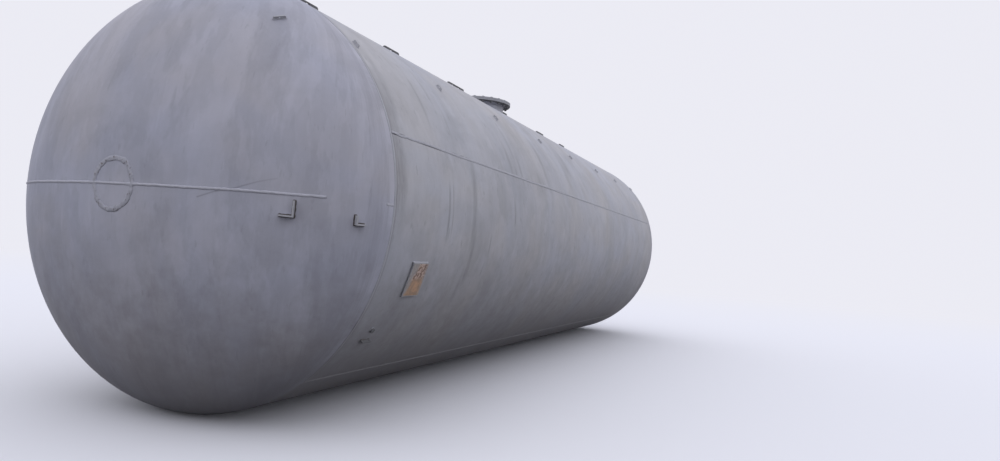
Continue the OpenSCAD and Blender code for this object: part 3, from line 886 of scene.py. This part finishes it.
def fit_front_welds(painted, rusty):
    """Beads along the legs of the plate bracket, and at the foot of the earthing lug and its boss. Those
    along the lower leg and the lug are dark: rust, and painted shade beneath them.
    """
    leg_turn = math.degrees(math.asin(LEG_OFF / SHELL_R))
    upper_leg, lower_leg = [(PLATE_X, PLATE_ANGLE + side * leg_turn, LEG_LENGTH) for side in (1, -1)]
    lug_sides = [(EARTHING_X, EARTHING_ANGLE + side * EARTHING_HALF, EARTHING_LENGTH)
                 for side in (-1, 1)]
    for name, material, places in (("plate_bracket_weld", painted, [upper_leg]),
                                   ("front_fitting_welds", rusty, [lower_leg] + lug_sides)):
        made = [settle(round_bar(0.0042, length, 40),
                       on_shell(x, degrees, BEAD_LIFT) @ Matrix.Rotation(math.pi / 2, 4, "Z"))
                for x, degrees, length in places]
        if material == painted:
            made.append(settle(ring_bead(0.021, 0.004, 40), on_shell(EARTHING_X, BOSS_ANGLE, BEAD_LIFT)))
        for i, one in enumerate(made):
            roughen(one, size=0.0022, scale=80.0, seed=i + 1)
        finish_piece(smooth(join(made)), name, material)


def across_end(s):
    """Path of the bead across the far dished end, level with the axis."""
    depth = head_x(abs(s))
    lean = math.atan2(abs(s) * HEAD_DEPTH ** 2, depth * SHELL_R ** 2)
    return (TANGENT_X + depth, s), (math.cos(lean), math.copysign(math.sin(lean), s))


def along_rim(side):
    """Path of the bead's stub beside the girth weld, on the front (-1) or the rear (1)."""
    def path(s):
        x = GIRTH_X + STUB_START + STUB_LENGTH / 2 + s
        return (x, side * skin_r(x)), (0.0, side)
    return path


def lay_head_beads(material):
    """The hand-laid bead across each dished end, which is ground flush near the rim and shows again
    beside the girth weld."""
    for name, side in ENDS:
        bead = lay_along(round_bar(BEAD_R, 2 * BEAD_REACH, 480), across_end)
        stubs = [lay_along(round_bar(BEAD_R, STUB_LENGTH, 15), along_rim(front)) for front in (-1, 1)]
        # The path of the rear stub turns its faces in
        stubs[1].data.flip_normals()
        for part in [bead] + stubs:
            for vertex in part.data.vertices:
                swell = 1 + 0.22 * wave(vertex.co.x * 60, vertex.co.y * 60, side * 3)
                vertex.co.z = AXIS_H + (vertex.co.z - AXIS_H) * swell
                vertex.co.z += 0.0035 * wave(vertex.co.x * 2.2, vertex.co.y * 2.2, side * 9)
        for stub in stubs:
            for vertex in stub.data.vertices:
                skin = skin_r(vertex.co.x)
                vertex.co.y = math.copysign(skin + (abs(vertex.co.y) - skin) * STUB_RISE, vertex.co.y)
        piece = join([bead] + stubs)
        if side == NEAR:
            to_near(piece)
        roughen(piece, size=0.0024, scale=55.0, seed=side + 7)
        finish_piece(smooth(piece), name + "_head_bead", material, [name + "_head_weld"])


def lay_seam_beads(material):
    """The last run of the shell's lengthwise welds: an uneven cap that stands out of the plates."""
    for i, (name, degrees) in enumerate(SEAMS):
        piece = round_bar(WELD_HALF, 2 * GIRTH_X - 2 * SEAM_GAP, 840, 8)
        for vertex in piece.data.vertices:
            along, aside = vertex.co.y, vertex.co.x
            swell = 1 + 0.3 * wave(along * 11, i, 1)
            start = max(0.0, -along - (GIRTH_X - UNSTEADY)) / UNSTEADY
            wander = 0.005 * wave(along * 1.7, i, 5) + 0.010 * start * wave(along * 9, i, 2)
            vertex.co = (along, aside * swell + wander, vertex.co.z * SEAM_RISE * swell)
        # Turning the bar from Y to X turned its faces in
        piece.data.flip_normals()
        settle(piece, on_shell(0.0, degrees))
        roughen(piece, size=0.0020, scale=45.0, seed=i + 20)
        finish_piece(smooth(piece), name + "_bead", material, [name + "_weld"])


def lay_girth_beads(material):
    """The last run of the two round welds of the shell."""
    for name, side in ENDS:
        piece = ring_bead(SHELL_R, WELD_HALF, 1100, 8)
        for vertex in piece.data.vertices:
            turn = math.atan2(vertex.co.y, vertex.co.x)
            across, up = math.cos(turn), math.sin(turn)
            swell = 1 + 0.3 * wave(across * 18, up * 18, side * 18)
            wander = 0.005 * wave(across * 3, up * 3, side * 9)
            r = SHELL_R + (vertex.co.xy.length - SHELL_R) * GIRTH_RISE * swell
            vertex.co = (r * across, r * up, vertex.co.z * swell + wander)
        settle(piece, Matrix.Translation((side * GIRTH_X, 0, AXIS_H))
               @ Matrix.Rotation(math.pi / 2, 4, "Y"))
        roughen(piece, size=0.0010, scale=45.0, seed=side + 30)
        finish_piece(smooth(piece), name + "_girth_bead", material, [name + "_girth_weld"])


def lay_pole_beads(material):
    """The hand-laid round weld at each pole: a thick, uneven bead."""
    for name, side in ENDS:
        piece = ring_bead(POLE_RING_R, POLE_BEAD_R, 360, 14)
        for vertex in piece.data.vertices:
            x, y = vertex.co.xy
            swell = 1 + 0.55 * wave(x * 30, y * 30, side * 30)
            wander = 0.008 * wave(x * 9, y * 9, side * 5)
            turn, r = math.atan2(y, x), POLE_RING_R + (math.hypot(x, y) - POLE_RING_R) * swell + wander
            vertex.co = (r * math.cos(turn), r * math.sin(turn), vertex.co.z * POLE_RISE * swell)
        settle(piece, Matrix.Rotation(math.pi / 2, 4, "Y"))
        for vertex in piece.data.vertices:
            vertex.co.x += TANGENT_X + head_x(math.hypot(vertex.co.y, vertex.co.z)) + BEAD_LIFT
            vertex.co.z += AXIS_H
        if side == NEAR:
            to_near(piece)
        roughen(piece, size=0.0034, scale=48.0, seed=side + 4)
        finish_piece(smooth(piece), name + "_pole_bead", material, [name + "_pole_weld"])


def dress_nodes():
    """Gives the pieces of the frame their finishes, and returns all finishes by name."""
    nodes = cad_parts
    end_tint, shell_tint, rim_tint = (0.415, 0.416, 0.490), (0.441, 0.441, 0.486), (0.36, 0.365, 0.40)
    under_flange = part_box("manway_flange")[0].z + 0.002
    low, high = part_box("bare_plate")
    recipes = {
        "end_paint": (shell_paint, "down", end_tint),
        "near_end_paint": (shell_paint, "down", end_tint, True),
        "shell_paint": (shell_paint, "round", shell_tint),
        "front_shell_paint": (shell_paint, "round", shell_tint, True),
        "bead_paint": (bead_paint,),
        # The pole beads get more dark spots: painted shade in their pits as well as grime
        "rough_bead": (bead_paint, (0.385, 0.385, 0.45), 0.8),
        # Lighter than the dished ends' paint: a painted highlight on the bead across them
        "end_bead": (bead_paint, (0.45, 0.45, 0.52), 0.15),
        # Dark beads: burnt rust, and painted shade at the feet of fittings
        "rusty_bead": (bead_paint, (0.075, 0.066, 0.063)),
        # The flange's underside and the nuts under it get painted shade
        "flange_paint": (worn_paint, rim_tint, 0.3, under_flange),
        "bolt_paint": (worn_paint, rim_tint, 0.4, under_flange),
        # The lugs' grey paint darkened to near black: painted shade
        "lug_paint": (worn_paint, (0.11, 0.11, 0.12), 0.6),
        "clip_paint": (worn_paint, (0.44, 0.44, 0.48), 0.3),
        "fitting_paint": (worn_paint, (0.42, 0.42, 0.46), 0.4),
        # The earthing lug's paint darkened: painted shade
        "dull_paint": (worn_paint, (0.145, 0.145, 0.155), 0.3),
        "gasket_sheet": (rubber,),
        "rusted_plate": (rusted_plate, (low + high) / 2, math.radians(PLATE_ANGLE - 90)),
    }
    finishes = {name: make(name, *details) for name, (make, *details) in recipes.items()}
    lugs = [name for name, _, _ in LUGS]
    worn = {
        "end_paint": ["far_head"], "near_end_paint": ["near_head"],
        "front_shell_paint": ["front_side_plate", "crown_plate"],
        "shell_paint": ["rear_crown_plate", "rear_side_plate", "belly_plate", "manway_neck",
                        "manway_pad"] + [name + "_pad" for name in lugs],
        "bead_paint": [n for n in nodes if n.endswith("_weld")],
        "flange_paint": ["manway_flange", "manway_cover"],
        "lug_paint": lugs,
        "clip_paint": ["front_clips", "rear_clips", "near_head_clip", "far_head_clip"],
        "fitting_paint": ["angle_brackets", "plate_bracket"],
        "dull_paint": ["earthing_lug"],
        "gasket_sheet": ["manway_gasket"],
        "rusted_plate": ["bare_plate"],
    }
    for finish, members in worn.items():
        for n in members:
            nodes[n].data.materials.clear()
            nodes[n].data.materials.append(finishes[finish])
    left = sorted(set(nodes) - {n for members in worn.values() for n in members})
    if left:
        raise SystemExit("no finish for " + ", ".join(left))
    return finishes


drop_selection()
stand_camera()
light_sky()
lay_floor()
finishes = dress_nodes()
fit_bolts(finishes["bolt_paint"])
fit_crown_welds(finishes["bead_paint"])
fit_clip_welds(finishes["bead_paint"])
fit_bracket_welds(finishes["rusty_bead"])
fit_front_welds(finishes["bead_paint"], finishes["rusty_bead"])
lay_head_beads(finishes["end_bead"])
lay_seam_beads(finishes["bead_paint"])
lay_girth_beads(finishes["bead_paint"])
lay_pole_beads(finishes["rough_bead"])
